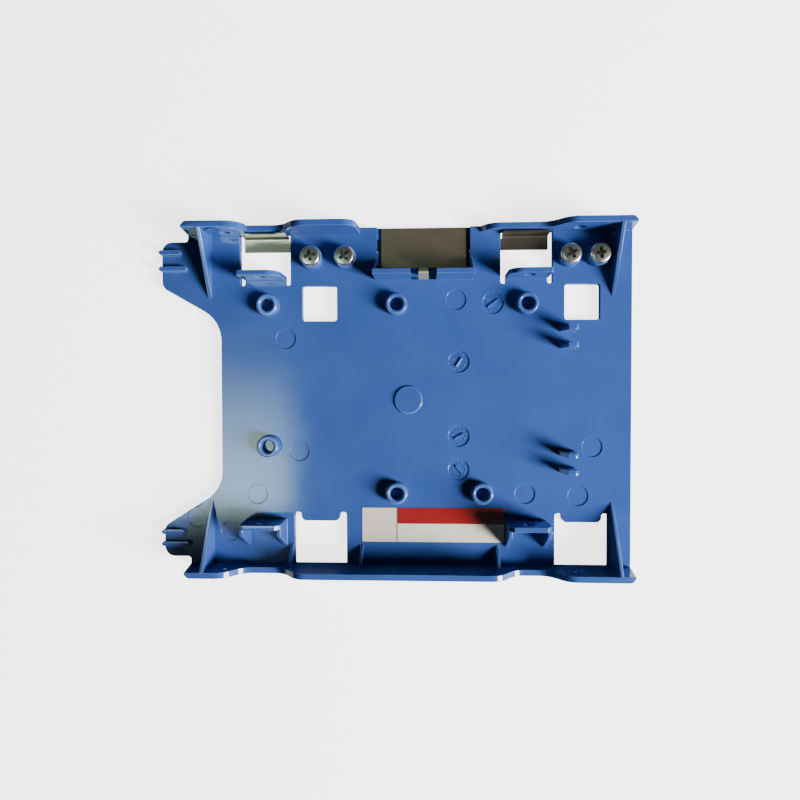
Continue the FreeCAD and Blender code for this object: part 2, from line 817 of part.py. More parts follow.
# Standoffs as hollow posts on the floor, the ones under the drive with eased rims
standoffs = new_body("standoffs")
posts = flat_sketch(standoffs, "posts", floor_top)
for x, y in drive_bosses:
    circle(posts, x, y, S.boss_diameter)
    circle(posts, x, y, S.boss_bore)
for x, y in park_bosses:
    circle(posts, x, y, S.park_diameter)
    circle(posts, x, y, park_bore)
base = pad(standoffs, posts, S.boss_height)
names = round_edges(base.Shape, boss_top, S.boss_diameter, lambda spot: spot.y < park_row.value - 0.5)
names += round_edges(base.Shape, boss_top, S.boss_bore)
standoffs.Tip = chamfer(standoffs, base, names, S.boss_chamfer)

# The moulding: floor, walls, bay fittings and standoffs as one solid
tray = doc.addObject("Part::MultiFuse", "tray")
tray.Label = "tray"
tray.Shapes = [floor, walls, bay, standoffs]
tray.Refine = True
doc.recompute()

# Grounding strip: centre plate and two arms cut from one sheet
strip = new_body("ground_strip")
plate_inner = seat_inner + S.plate_inset
plate_outer = half_width - S.plate_setback
arm_rear = hole_rear - cut_half + S.arm_end_gap
arm_front = hole_front + cut_half - S.arm_end_gap
sheet_plan = flat_sketch(strip, "sheet", strip_low)
outline(sheet_plan, [
    (arm_rear, arm_inner),
    (plate_rear, arm_inner),
    (plate_rear, plate_inner),
    (plate_front, plate_inner),
    (plate_front, arm_inner),
    (arm_front, arm_inner),
    (arm_front, arm_outer),
    (plate_front, arm_outer),
    (plate_front, plate_outer),
    (plate_rear, plate_outer),
    (plate_rear, arm_outer),
    (arm_rear, arm_outer),
])
metal = pad(strip, sheet_plan, S.strip_thickness)

# Upright legs that lie along the wall inside the two cut-outs
leg_top = S.access_height - S.leg_below
leg_spans = [
    (arm_rear, hole_rear + cut_half - S.leg_end_gap),
    (hole_front - cut_half + S.leg_end_gap, arm_front),
]
for number, (start, end) in enumerate(leg_spans, start=1):
    leg = cross_sketch(strip, "leg_%d" % number, start)
    outline(leg, [
        (arm_outer - S.bend_radius, strip_low),
        (leg_outer, strip_low),
        (leg_outer, leg_top),
        (leg_inner, leg_top),
        (leg_inner, strip_high),
        (arm_outer - S.bend_radius, strip_high),
    ])
    metal = pad(strip, leg, end - start)
names = straight_edges(metal.Shape, "X", [(leg_inner, strip_high)])
metal = fillet(strip, metal, names, S.bend_radius)
names = straight_edges(metal.Shape, "X", [(leg_outer, strip_low)])
metal = fillet(strip, metal, names, S.bend_radius + S.strip_thickness)

# Riser where the rear leg follows the wall up its ramp
riser_end = hole_rear + cut_half - S.leg_end_gap
riser = side_sketch(strip, "riser", leg_outer)
outline(riser, [
    (riser_end - S.riser_run, leg_top),
    (riser_end - S.riser_run, leg_top - S.riser_rise / 2),
    (riser_end, leg_top - S.riser_rise / 2),
    (riser_end, leg_top + S.riser_rise),
])
metal = pad(strip, riser, S.strip_thickness)

# Spring finger that rises through the notch and bows into the bay
finger_bow = bay_half - S.finger_reach
finger_root = finger_bow + S.finger_lean * 2
finger_tip = finger_bow + S.finger_lean
finger_mid = drive_hole_height
finger_top = tab_top - S.strip_thickness * 2
finger = cross_sketch(strip, "finger", contact)
outline(finger, [
    (plate_inner + S.strip_thickness, strip_low),
    (finger_root, strip_low),
    (finger_bow, finger_mid),
    (finger_tip, finger_top),
    (finger_tip + S.strip_thickness, finger_top),
    (finger_bow + S.strip_thickness, finger_mid),
    (finger_root + S.strip_thickness, strip_high),
    (plate_inner + S.strip_thickness, strip_high),
])
metal = pad(strip, finger, S.finger_width, centred=True)
names = straight_edges(metal.Shape, "X", [(finger_bow, finger_mid)])
metal = fillet(strip, metal, names, S.bend_radius + S.strip_thickness)
names = straight_edges(metal.Shape, "X", [(finger_bow + S.strip_thickness, finger_mid)])
metal = fillet(strip, metal, names, S.bend_radius)
strip.Tip = metal

# One spare screw, turned about its own axis, with a cross recess in its head
screw = new_body("screw")
screw_profile = side_sketch(screw, "screw_profile", ZERO)
outline(screw_profile, [
    (0, S.screw_tip),
    (S.screw_diameter / 2 - S.screw_tip / 2, S.screw_tip),
    (S.screw_diameter / 2, S.screw_tip * 2),
    (S.screw_diameter / 2, boss_top),
    (S.head_diameter / 2, boss_top),
    (S.head_diameter / 2, boss_top + S.head_height - S.head_round),
    (S.head_diameter / 2 - S.head_round, boss_top + S.head_height),
    (0, boss_top + S.head_height),
])
turned = screw.newObject("PartDesign::Revolution", "turned")
turned.Profile = screw_profile
turned.ReferenceAxis = (screw_profile, ["V_Axis"])
turned.Angle = 360
screw_profile.Visibility = False
doc.recompute()
recess = flat_sketch(screw, "recess", boss_top + S.head_height)
wide = S.recess_width / 2
long = S.recess_length / 2
outline(recess, [
    (long, -wide),
    (long, wide),
    (wide, wide),
    (wide, long),
    (-wide, long),
    (-wide, wide),
    (-long, wide),
    (-long, -wide),
    (-wide, -wide),
    (-wide, -long),
    (wide, -long),
    (wide, -wide),
])
screw.Tip = pocket(screw, recess, S.recess_depth)

# The four parked screws, each turned a little differently
copies = []
for number, ((x, y), turn) in enumerate(zip(park_bosses, (12, 40, 28, 5)), start=1):
    copy = doc.addObject("App::Link", "screw_%d" % number)
    copy.LinkedObject = screw
    copy.Placement = FreeCAD.Placement(
        FreeCAD.Vector(x.value, y.value, 0),
        FreeCAD.Rotation(FreeCAD.Vector(0, 0, 1), turn),
    )
    copy.setExpression("Placement.Base.x", x.text)
    copy.setExpression("Placement.Base.y", y.text)
    copies.append(copy)
screws = doc.addObject("Part::Compound", "spare_screws")
screws.Label = "spare_screws"
screws.Links = copies

# Sticker on the floor between the rear cut-out and the front tab
label = new_body("label")
sticker = flat_sketch(label, "sticker", floor_top)
label_rear = cutout_rear_end + S.label_rear_gap
label_front = hole_front - S.tab_width / 2 - S.label_front_gap
rectangle(sticker, label_rear, label_front, -label_edge, -label_edge + S.label_width)
label.Tip = pad(label, sticker, S.label_thickness)

# Check every object, then write one file for each node
doc.recompute()
for item in doc.Objects:
    if "Invalid" in item.State or "Error" in item.State:
        raise RuntimeError("%s did not build: %s" % (item.Name, item.State))
os.makedirs("parts", exist_ok=True)
for node, solids in ((tray, 1), (strip, 1), (screws, 4), (label, 1)):
    shape = node.Shape
    if shape.isNull() or not shape.isValid() or len(shape.Solids) != solids:
        raise RuntimeError("%s is not sound" % node.Label)
    shape.exportStep("parts/%s.step" % node.Label)
    print(node.Label, len(shape.Solids), round(shape.Volume, 1), shape.BoundBox)
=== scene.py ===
# %% [markdown]
# # Dressing a moulded drive caddy for its picture
#
# A drive caddy is a shallow plastic tray that lets a small drive sit in a bay made for a larger one. Its
# solid model is already made, and in this lesson we turn that model into a picture. We soften the edges
# as a mould does, model the small things that the solids leave plain, give every piece a material with
# real detail, and then set up a floor, lamps and a camera. Blender counts in metres, so we keep a name
# for one millimetre.

# %% Load the frame
import math

import bmesh
import bpy
from mathutils import Matrix, Vector


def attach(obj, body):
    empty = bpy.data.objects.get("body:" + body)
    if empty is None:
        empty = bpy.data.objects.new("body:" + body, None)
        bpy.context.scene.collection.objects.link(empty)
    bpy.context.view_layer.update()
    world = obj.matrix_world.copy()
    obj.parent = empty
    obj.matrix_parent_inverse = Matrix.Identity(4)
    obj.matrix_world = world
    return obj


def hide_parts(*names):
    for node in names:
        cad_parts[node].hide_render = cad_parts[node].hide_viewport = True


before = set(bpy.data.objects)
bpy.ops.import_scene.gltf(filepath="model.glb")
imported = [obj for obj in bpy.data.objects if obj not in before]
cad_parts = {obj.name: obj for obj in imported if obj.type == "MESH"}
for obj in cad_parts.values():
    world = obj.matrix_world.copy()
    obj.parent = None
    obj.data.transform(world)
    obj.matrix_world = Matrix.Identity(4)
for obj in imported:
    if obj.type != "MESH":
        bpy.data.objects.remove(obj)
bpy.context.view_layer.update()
MM = 0.001
print("nodes:", sorted(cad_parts))

# %% [markdown]
# ## Pieces that shade well
#
# On the real tray a wide flat wall ends in an edge as thin as a hair, and the wall still mirrors like one
# flat sheet. A smooth-shaded corner in Blender averages the faces around it, so a tiny rounded edge would
# bend the shading of the whole wall. We could split the mesh at every edge, but then the rounding would
# look faceted. A Weighted Normal modifier is better: it lets the large faces decide, and only edges that
# turn by more than fifty degrees stay crisp.

# %% Turn a finished bmesh into a piece
CRISP_TURN = math.radians(50)


def piece_from(build, name):
    """Object made from a finished bmesh, smooth shaded and carried by the root."""
    bmesh.ops.recalc_face_normals(build, faces=build.faces)
    mesh = bpy.data.meshes.new(name)
    build.to_mesh(mesh)
    build.free()
    mesh.shade_smooth()
    mesh.set_sharp_from_angle(angle=CRISP_TURN)
    piece = bpy.data.objects.new(name, mesh)
    bpy.context.scene.collection.objects.link(piece)
    normals = piece.modifiers.new("large_faces_lead", "WEIGHTED_NORMAL")
    normals.weight = 80
    normals.keep_sharp = True
    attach(piece, "root")
    print(name, "has", len(mesh.polygons), "faces")
    return piece


# %% [markdown]
# ## Soft moulded edges
#
# A solid model has knife edges, and a real moulding never does, because plastic can't fill the very
# corner of its mould. The small radius catches a thin line of light, and the eye reads that line as
# plastic. A Bevel modifier could add it, but it treats all edges alike, and here wall ends, webs and
# shallow marks each need a radius of their own. So we bevel a copy of the mesh in passes. The copy is
# welded first, and its flat triangles are melted into larger faces. Each new face is marked as a rim or
# as a root, so that a material can paint a highlight on the one and paint shade in the other.

# %% Weld a copy of a node
WELD_DISTANCE = 0.002 * MM
FLAT_TURN = math.radians(0.5)


def welded(node):
    """Bmesh copy of a node, its triangles joined into large faces, with a layer for each of the two marks."""
    build = bmesh.new()
    build.from_mesh(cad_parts[node].data)
    triangles = len(build.faces)
    for mark in ("rim", "root"):
        build.faces.layers.float.new(mark)
    bmesh.ops.remove_doubles(build, verts=build.verts, dist=WELD_DISTANCE)
    bmesh.ops.dissolve_limit(
        build, angle_limit=FLAT_TURN, use_dissolve_boundaries=False,
        verts=build.verts, edges=build.edges, delimit={"NORMAL"},
    )
    print(node, "melted from", triangles, "triangles to", len(build.faces), "faces")
    return build


# %% Round chosen edges and mark what was made
def round_over(build, edges, radius, segments, strength=1.0):
    """Bevel edges and mark the new faces: those of outer edges as rims, those of inner edges as roots."""
    made = bmesh.ops.bevel(
        build, geom=edges, offset=radius, offset_type="OFFSET", segments=segments, profile=0.5,
        affect="EDGES", clamp_overlap=False, material=-1,
    )["faces"]
    build.normal_update()
    for face in made:
        middle = face.calc_center_median()
        beside = [other.calc_center_median() for edge in face.edges for other in edge.link_faces]
        drop = sum(face.normal.dot(spot - middle) for spot in beside)
        face[build.faces.layers.float["rim" if drop < 0 else "root"]] = strength
    print("rounded", len(edges), "edges by", round(radius / MM, 3), "mm")


# %% [markdown]
# ## Which edges to round
#
# A radius needs room. It fails beside a wall that is lower than the radius, and beside a rounding that an
# earlier pass made. We could pick edges by hand, but their numbers change whenever the solid does. Three
# small tests on shape keep working: how sharply an edge turns, how high the walls beside it are, and
# whether a face beside it is already marked.

# %% Tests that choose edges
CLEAR_TURN = math.radians(32)
UPRIGHT_LEAN = 0.3
LOW_WALL = 0.35 * MM


def turns(edge):
    """True where the two faces of an edge meet at a clear angle."""
    return edge.calc_face_angle(0.0) > CLEAR_TURN


def beside_wall(edge, lowest, highest):
    """True where the edge bounds an upright face whose height lies between two limits."""
    for face in edge.link_faces:
        heights = [vert.co.z for vert in face.verts]
        if abs(face.normal.z) < UPRIGHT_LEAN and lowest < max(heights) - min(heights) < highest:
            return True
    return False


def rounded(build, edge):
    """True where a face beside the edge comes from an earlier pass."""
    layers = [build.faces.layers.float[mark] for mark in ("rim", "root")]
    return any(face[layer] for face in edge.link_faces for layer in layers)


def sharp(build):
    """Edges with room for a radius: they turn clearly, and nothing too low or already rounded is beside."""
    return [
        edge for edge in build.edges
        if turns(edge) and not beside_wall(edge, 0.0, LOW_WALL) and not rounded(build, edge)
    ]


# %% [markdown]
# ## The tray
#
# The tray is one injection moulding. The ends of its walls and the crests of its corner webs are rounded
# generously, because hands meet them first, and so are the tops of the standoffs that the drive slides
# over. The other edges have the small radius that a mould leaves. The round marks in the floor are only a
# few tenths of a millimetre deep, so their edges get the smallest radius and the faintest painted
# highlight and painted shade. The largest radius goes first: it needs whole edges, while a small one can
# stop short beside a large one.

# %% Find the ends of walls, the crests of webs and the tops of standoffs
WALL_ZONE = (57 * MM, 49 * MM)
STEEP = 0.7
WEB_LENGTH = 15 * MM
WEB_SLOPE = 0.2
STANDOFF_TOP = 5.0 * MM
LEVEL = 0.01 * MM


def wall_end(edge):
    """True for an upright edge at the outer end of a side wall."""
    along = edge.verts[1].co - edge.verts[0].co
    far_out = all(abs(vert.co.x) > WALL_ZONE[0] and abs(vert.co.y) > WALL_ZONE[1] for vert in edge.verts)
    return far_out and turns(edge) and abs(along.z) > STEEP * along.length


def web_crest(edge):
    """True for a long edge that slopes down across the tray, as along the top of a corner web."""
    along = edge.verts[1].co - edge.verts[0].co
    return along.length > WEB_LENGTH and turns(edge) and abs(along.z) > WEB_SLOPE * along.length


def crown(edge):
    """True for an edge around the top of a standoff."""
    return turns(edge) and all(abs(vert.co.z - STANDOFF_TOP) < LEVEL for vert in edge.verts)


# %% Round the tray, the largest radius first
WALL_END_RADIUS = 0.5 * MM
WEB_RADIUS = 0.35 * MM
CROWN_RADIUS = 0.18 * MM
MOULD_RADIUS = 0.11 * MM
MARK_RADIUS = 0.09 * MM
SHALLOWEST_MARK = 0.2 * MM
MARK_PAINTED_LIGHT = 0.3
build = welded("tray")
marks = [edge for edge in build.edges if turns(edge) and beside_wall(edge, SHALLOWEST_MARK, LOW_WALL)]
round_over(build, [edge for edge in build.edges if wall_end(edge)], WALL_END_RADIUS, 4)
round_over(build, [edge for edge in build.edges if web_crest(edge)], WEB_RADIUS, 3)
round_over(build, [edge for edge in build.edges if crown(edge)], CROWN_RADIUS, 3)
round_over(build, sharp(build), MOULD_RADIUS, 2)
# The shallow marks get a fainter painted highlight on their rims and fainter painted shade in their roots.
round_over(build, [edge for edge in marks if edge.is_valid], MARK_RADIUS, 2, strength=MARK_PAINTED_LIGHT)
tray = piece_from(build, "tray_moulding")
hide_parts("tray")

# %% [markdown]
# ## The grounding strip
#
# The strip is a folded spring that joins the drive to the metal of the bay. It is cut from sheet half a
# millimetre thick, so its edges are nearly square. We could leave them sharp, but then they would never
# glint. One tiny radius on all of them is enough, so the tests from above do the choosing.

# %% Round the strip
SHEET_RADIUS = 0.06 * MM
build = welded("ground_strip")
round_over(build, sharp(build), SHEET_RADIUS, 2)
strip = piece_from(build, "strip_sheet")
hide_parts("ground_strip")

# %% [markdown]
# ## The parked screws
#
# Four spare screws wait in the tray until a drive is fitted. A screw is round, so we draw half of its
# section as a line and spin it about its own axis: a tapered tip, a few thread ridges, a shank and a
# domed pan head. A true helix would cost many faces and hide inside the standoff, so plain ridges stand
# for the thread.

# %% Profile of one screw, as radius and height in millimetres
TIP = 0.5
CORE = 1.2
SHANK = 1.44
RIDGES = 7
PITCH = 0.5
SEAT = 5.0
HEAD = 2.95
SHOULDER = 5.9
DOME = (0.65, 0.95)
DOME_STEPS = 7
profile = [(0, TIP), (0.95, TIP), (CORE, 0.8)]
for ridge in range(RIDGES):
    foot = 0.9 + PITCH * ridge
    profile += [(CORE, foot), (SHANK, foot + 0.2), (CORE, foot + 0.4)]
profile += [(SHANK, 4.5), (SHANK, SEAT), (2.85, SEAT), (HEAD, 5.1), (HEAD, SHOULDER)]
for step in range(1, DOME_STEPS + 1):
    turn = math.radians(90 * step / DOME_STEPS)
    profile.append((2.3 + DOME[0] * math.cos(turn), SHOULDER + DOME[1] * math.sin(turn)))
profile += [(1.5, 6.95), (0.7, 6.99), (0, 7.0)]
print("screw profile has", len(profile), "points")


# %% Turn a profile
def turned(points, steps):
    """Solid of revolution about Z from radius and height points."""
    build = bmesh.new()
    verts = [build.verts.new((radius * MM, 0, height * MM)) for radius, height in points]
    edges = [build.edges.new(pair) for pair in zip(verts, verts[1:])]
    bmesh.ops.spin(
        build, geom=verts + edges, cent=(0, 0, 0), axis=(0, 0, 1), angle=math.tau, steps=steps,
        use_merge=True,
    )
    bmesh.ops.remove_doubles(build, verts=build.verts, dist=0.001 * MM)
    bmesh.ops.recalc_face_normals(build, faces=build.faces)
    return build


# %% [markdown]
# ## The cross in each head
#
# The driver recess is a cross that narrows towards its bottom. Its arms could be inset and pushed down
# from the domed top, but the dome has no edges along a cross. A cutter is easier: we draw the cross,
# extrude it downwards, draw the lower end in, and let a Boolean modifier take it out of the head.


# %% Cross-shaped cutter
def extruded(build, faces, rise):
    """Extrude flat faces into a closed solid, and give back the corners that moved."""
    made = bmesh.ops.extrude_face_region(build, geom=faces, use_keep_orig=True)["geom"]
    moved = [item for item in made if isinstance(item, bmesh.types.BMVert)]
    bmesh.ops.translate(build, verts=moved, vec=(0, 0, rise))
    return moved


def cross_cutter(reach, half_width, top, depth, taper):
    """Cross that reaches outwards from the axis and narrows by the taper on its way down."""
    build = bmesh.new()
    outline = []
    for quarter in range(4):
        around = Matrix.Rotation(math.pi / 2 * quarter, 4, "Z")
        for x, y in ((reach, -half_width), (reach, half_width), (half_width, half_width)):
            outline.append(build.verts.new(around @ Vector((x, y, top)) * MM))
    lower = extruded(build, [build.faces.new(outline)], -depth * MM)
    bmesh.ops.scale(build, verts=lower, vec=(taper, taper, 1.0))
    bmesh.ops.recalc_face_normals(build, faces=build.faces)
    return build


# %% Cut one screw head
def scratch_object(build, name):
    """Plain object for the cutting step."""
    mesh = bpy.data.meshes.new(name)
    build.to_mesh(mesh)
    build.free()
    made = bpy.data.objects.new(name, mesh)
    bpy.context.scene.collection.objects.link(made)
    return made


blank = scratch_object(turned(profile, steps=48), "blank")
recess = cross_cutter(reach=1.8, half_width=0.5, top=7.2, depth=1.7, taper=0.5)
cutter = scratch_object(recess, "cutter")
cut = blank.modifiers.new("cross", "BOOLEAN")
cut.object = cutter
cut.operation = "DIFFERENCE"
cut.solver = "EXACT"
one_screw = bpy.data.meshes.new_from_object(blank.evaluated_get(bpy.context.evaluated_depsgraph_get()))
for leftover in (blank, cutter):
    bpy.data.objects.remove(leftover)
print("one screw has", len(one_screw.polygons), "faces")

# %% Mark the shoulder for a painted highlight and the recess for painted shade
TOP_RADIUS = 2.2
SHOULDER_HIGHLIGHT = (5.8, 6.8)
RECESS_FLOOR = 5.2
build = bmesh.new()
build.from_mesh(one_screw)
rim = build.faces.layers.float.new("rim")
root = build.faces.layers.float.new("root")
for face in build.faces:
    middle = face.calc_center_median() / MM
    across = middle.xy.length
    # Shoulder faces are marked for a painted highlight.
    face[rim] = float(across > TOP_RADIUS and SHOULDER_HIGHLIGHT[0] < middle.z < SHOULDER_HIGHLIGHT[1])
    # Faces in the cross recess are marked for painted shade.
    inside = middle.z > RECESS_FLOOR and (face.normal.z < 0.6 or middle.z < 6.5)
    face[root] = float(across < TOP_RADIUS and inside)
print("rubbed faces:", sum(face[rim] for face in build.faces))
print("painted_shade faces:", sum(face[root] for face in build.faces))
build.to_mesh(one_screw)
build.free()

# %% Set the four screws in their standoffs
SCREW_SPOTS = ((-23.74, 41.6, 12), (-13.83, 41.6, 40), (50.85, 41.6, 28), (59.05, 41.6, 5))
build = bmesh.new()
for x, y, turn in SCREW_SPOTS:
    before = len(build.verts)
    build.from_mesh(one_screw)
    build.verts.ensure_lookup_table()
    place = Matrix.Translation((x * MM, y * MM, 0)) @ Matrix.Rotation(math.radians(turn), 4, "Z")
    bmesh.ops.transform(build, matrix=place, verts=build.verts[before:])
screws = piece_from(build, "screw_set")
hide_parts("spare_screws")

# %% [markdown]
# ## The sticker
#
# A cut sticker has slightly round corners, and its film is so thin that only its rim shows. A plain box
# would have the right size but sharp corners. Instead a flat rectangle gets its corners rounded by a
# vertex bevel, is extruded by the thickness of the film, and has its upper rim softened.

# %% Rounded film
LABEL = (-9.25, 32.45, -42.0, -31.9)
TRAY_FLOOR = 2.0 * MM
FILM = 0.12 * MM
CORNER_RADIUS = 0.3 * MM
RIM_RADIUS = 0.05 * MM
left, right, low, high = (side * MM for side in LABEL)
build = bmesh.new()
corners = bmesh.ops.create_grid(build, x_segments=1, y_segments=1, size=0.5)["verts"]
middle = Matrix.Translation(((left + right) / 2, (low + high) / 2, TRAY_FLOOR))
bmesh.ops.transform(build, matrix=middle @ Matrix.Diagonal((right - left, high - low, 1, 1)), verts=corners)
bmesh.ops.bevel(
    build, geom=corners, offset=CORNER_RADIUS, offset_type="OFFSET", segments=5, profile=0.5,
    affect="VERTICES", clamp_overlap=False, material=-1,
)
upper = extruded(build, list(build.faces), FILM)
bmesh.ops.bevel(
    build, geom=[edge for edge in build.edges if all(vert in upper for vert in edge.verts)],
    offset=RIM_RADIUS, offset_type="OFFSET", segments=2, profile=0.5,
    affect="EDGES", clamp_overlap=False, material=-1,
)
sticker = piece_from(build, "sticker_film")
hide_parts("label")

# %% [markdown]
# ## Date wheels
#
# The four round inserts in the floor are date wheels: a slotted arrow that turns inside a ring of marks,
# so that the moulder can set the month. A bump texture could draw them, but low light from the side shows
# real relief, so they are modelled. The mould leaves them a little sunk, and only the arrow comes up to
# the floor, a tenth of a millimetre proud of it.

# %% Parts of a wheel
TOP_LENGTH_SHARE = 0.9
TOP_WIDTH_SHARE = 0.4
RIDGE_SLOPE = 0.06


def bar(build, place, half_length, half_width, foot, top):
    """Low bar with sloping sides, its sizes in millimetres, set by a placing matrix."""
    made = bmesh.ops.create_cube(build, size=1.0)["verts"]
    for vert in made:
        upper = vert.co.z > 0
        length = 2 * half_length * (TOP_LENGTH_SHARE if upper else 1.0)
        width = 2 * half_width * (TOP_WIDTH_SHARE if upper else 1.0)
        vert.co = Vector((vert.co.x * length, vert.co.y * width, top if upper else foot)) * MM
    bmesh.ops.transform(build, matrix=place, verts=made)


def ring(build, place, inner, outer, foot, top):
    """Low round ridge between two radii, in millimetres too."""
    crest = ((inner + RIDGE_SLOPE, top), (outer - RIDGE_SLOPE, top))
    made = turned(((inner, foot), *crest, (outer, foot), (inner, foot)), steps=40)
    holder = bpy.data.meshes.new("ring")
    made.to_mesh(holder)
    made.free()
    before = len(build.verts)
    build.from_mesh(holder)
    build.verts.ensure_lookup_table()
    bmesh.ops.transform(build, matrix=place, verts=build.verts[before:])
    bpy.data.meshes.remove(holder)


# %% Arrow, ring and marks for each wheel
WHEELS = (
    (29.15, 28.2, 36, 2.1), (19.25, 11.1, 57, 1.6), (19.25, -10.7, 29, 1.6), (19.25, -20.6, 131, 1.6),
)
SUNK = 1.68
BARB_BACK = 0.35
BARB_SIDE = 0.34
BARB_TURN = 0.8
MONTHS = 12
MARK_CIRCLE = 2.42
build = bmesh.new()
for x, y, turn, reach in WHEELS:
    place = Matrix.Translation((x * MM, y * MM, 0)) @ Matrix.Rotation(math.radians(turn), 4, "Z")
    ring(build, place, inner=1.72, outer=1.92, foot=SUNK, top=1.78)
    bar(build, place, half_length=reach, half_width=0.45, foot=SUNK, top=2.1)
    for side in (-1, 1):
        barb_spot = Matrix.Translation(((reach - BARB_BACK) * MM, side * BARB_SIDE * MM, 0))
        barb = barb_spot @ Matrix.Rotation(side * -BARB_TURN, 4, "Z")
        bar(build, place @ barb, half_length=0.4, half_width=0.16, foot=SUNK, top=1.9)
    for month in range(MONTHS):
        around = Matrix.Rotation(math.tau * month / MONTHS, 4, "Z")
        outwards = place @ around @ Matrix.Translation((MARK_CIRCLE * MM, 0, 0))
        bar(build, outwards, half_length=0.3, half_width=0.12, foot=SUNK, top=1.79)
wheels = piece_from(build, "date_wheels")

# %% [markdown]
# ## A toolbox for materials
#
# A material is a graph of nodes. It could be clicked together in the Shader Editor, but a script gives
# the same graph every time. Graphs are long to write out, so one helper adds a node and fills its inputs:
# a plain value is set on the socket, and another node's output is linked to it. The other helpers are
# short names for the nodes that we use most.


# %% Node helpers
def add(tree, kind, inputs, **settings):
    """New shader node with its settings made and its inputs set or linked."""
    made = tree.nodes.new(kind)
    for key, value in settings.items():
        setattr(made, key, value)
    for key, value in inputs.items():
        if isinstance(value, bpy.types.NodeSocket):
            tree.links.new(value, made.inputs[key])
        else:
            made.inputs[key].default_value = value
    return made


def blend(tree, factor, first, second):
    """Colour between two others."""
    return add(tree, "ShaderNodeMix", {0: factor, 6: first, 7: second}, data_type="RGBA").outputs[2]


def remap(tree, value, low, high, new_low, new_high):
    """Value moved from one range to another and held inside it."""
    limits = {"Value": value, "From Min": low, "From Max": high, "To Min": new_low, "To Max": new_high}
    return add(tree, "ShaderNodeMapRange", limits).outputs["Result"]


def reckon(tree, operation, first, second):
    """Result of one step of arithmetic on two values."""
    return add(tree, "ShaderNodeMath", {0: first, 1: second}, operation=operation).outputs[0]


def noise(tree, vector, scale, detail=2.0):
    """Cloudy value of one grain size; the scale counts features in a metre."""
    made = add(tree, "ShaderNodeTexNoise", {"Vector": vector, "Scale": scale, "Detail": detail})
    return made.outputs["Fac"]


# %% [markdown]
# ## Effects that materials share
#
# Handled things show the same marks whatever they are made of: slow patchiness, fine scratches and a
# surface grain. Rims and roots get masks too, for a painted highlight on rims and painted shade in roots.
# These could be painted on an image, but an image needs unwrapping and blurs up close. Noise on Object
# coordinates has neither fault. We make the masks once, as a node group.
# The group hands out masks only, and each material decides what to do with them.

# %% Inputs and outputs of the group
shared_masks = bpy.data.node_groups.new("wear_and_painted_light", "ShaderNodeTree")
shared_masks.interface.new_socket("Vector", in_out="INPUT", socket_type="NodeSocketVector")
for output in ("Patches", "Scratches", "Grain", "Edges", "Roots"):
    shared_masks.interface.new_socket(output, in_out="OUTPUT", socket_type="NodeSocketFloat")
print("group outputs:", [item.name for item in shared_masks.interface.items_tree if item.in_out == "OUTPUT"])

# %% Masks inside the group
spot = shared_masks.nodes.new("NodeGroupInput").outputs["Vector"]
patches = remap(shared_masks, noise(shared_masks, spot, 70.0, 4.0), 0.3, 0.7, 0.0, 1.0)
lines = []
for angle, stretch in ((0.5, (260.0, 7000.0, 260.0)), (2.2, (200.0, 9000.0, 200.0))):
    drawn_out = {"Vector": spot, "Rotation": (0, 0, angle), "Scale": stretch}
    streak = add(shared_masks, "ShaderNodeMapping", drawn_out).outputs["Vector"]
    lines.append(remap(shared_masks, noise(shared_masks, streak, 1.0, 1.0), 0.71, 0.78, 0.0, 1.0))
# The rim and root marks give the masks for a painted highlight and painted shade.
rim = add(shared_masks, "ShaderNodeAttribute", {}, attribute_name="rim").outputs["Fac"]
masks = {
    "Patches": patches,
    "Scratches": reckon(shared_masks, "MAXIMUM", lines[0], lines[1]),
    "Grain": noise(shared_masks, spot, 7000.0, 3.0),
    "Edges": reckon(shared_masks, "MULTIPLY", rim, patches),
    "Roots": add(shared_masks, "ShaderNodeAttribute", {}, attribute_name="root").outputs["Fac"],
}
hand_out = shared_masks.nodes.new("NodeGroupOutput")
for output, source in masks.items():
    shared_masks.links.new(source, hand_out.inputs[output])
print("group nodes:", len(shared_masks.nodes))


# %% Start a material with its shader and the shared masks
def start(name):
    """New material: its node tree, shader, object coordinates and the masks of wear and painted light."""
    material = bpy.data.materials.new(name)
    material.use_nodes = True
    tree = material.node_tree
    shader = tree.nodes["Principled BSDF"]
    coords = tree.nodes.new("ShaderNodeTexCoord").outputs["Object"]
    mask_outputs = add(tree, "ShaderNodeGroup", {}, node_tree=shared_masks)
    tree.links.new(coords, mask_outputs.inputs["Vector"])
    return material, tree, shader, coords, mask_outputs.outputs


def wear(piece, material):
    """Give the piece its one material."""
    piece.data.materials.clear()
    piece.data.materials.append(material)
    print(piece.name, "wears", material.name, "with", len(material.node_tree.nodes), "nodes")


# %% [markdown]
# ## Blue plastic
#
# The moulding is a glossy blue, coloured all the way through. One flat colour would look like paint on a
# screen, so the blue drifts a little, the rims get a paler painted highlight, the roots of walls and ribs
# get painted shade and a duller gloss, and scratches scatter the light. The bump has two sizes: a fine
# grain, and slow waves where thick plastic sank as it cooled. The waves are what keeps a broad reflection
# from looking like glass.

# %% Colour and gloss of the plastic
plastic, tree, shader, coords, mask_outputs = start("blue_plastic")
body = blend(tree, mask_outputs["Patches"], (0.033, 0.084, 0.315, 1), (0.039, 0.097, 0.35, 1))
# Painted shade: the roots of walls and ribs are darkened.
painted_root_shade = reckon(tree, "MULTIPLY", mask_outputs["Roots"], 0.4)
body = blend(tree, painted_root_shade, body, (0.012, 0.04, 0.14, 1))
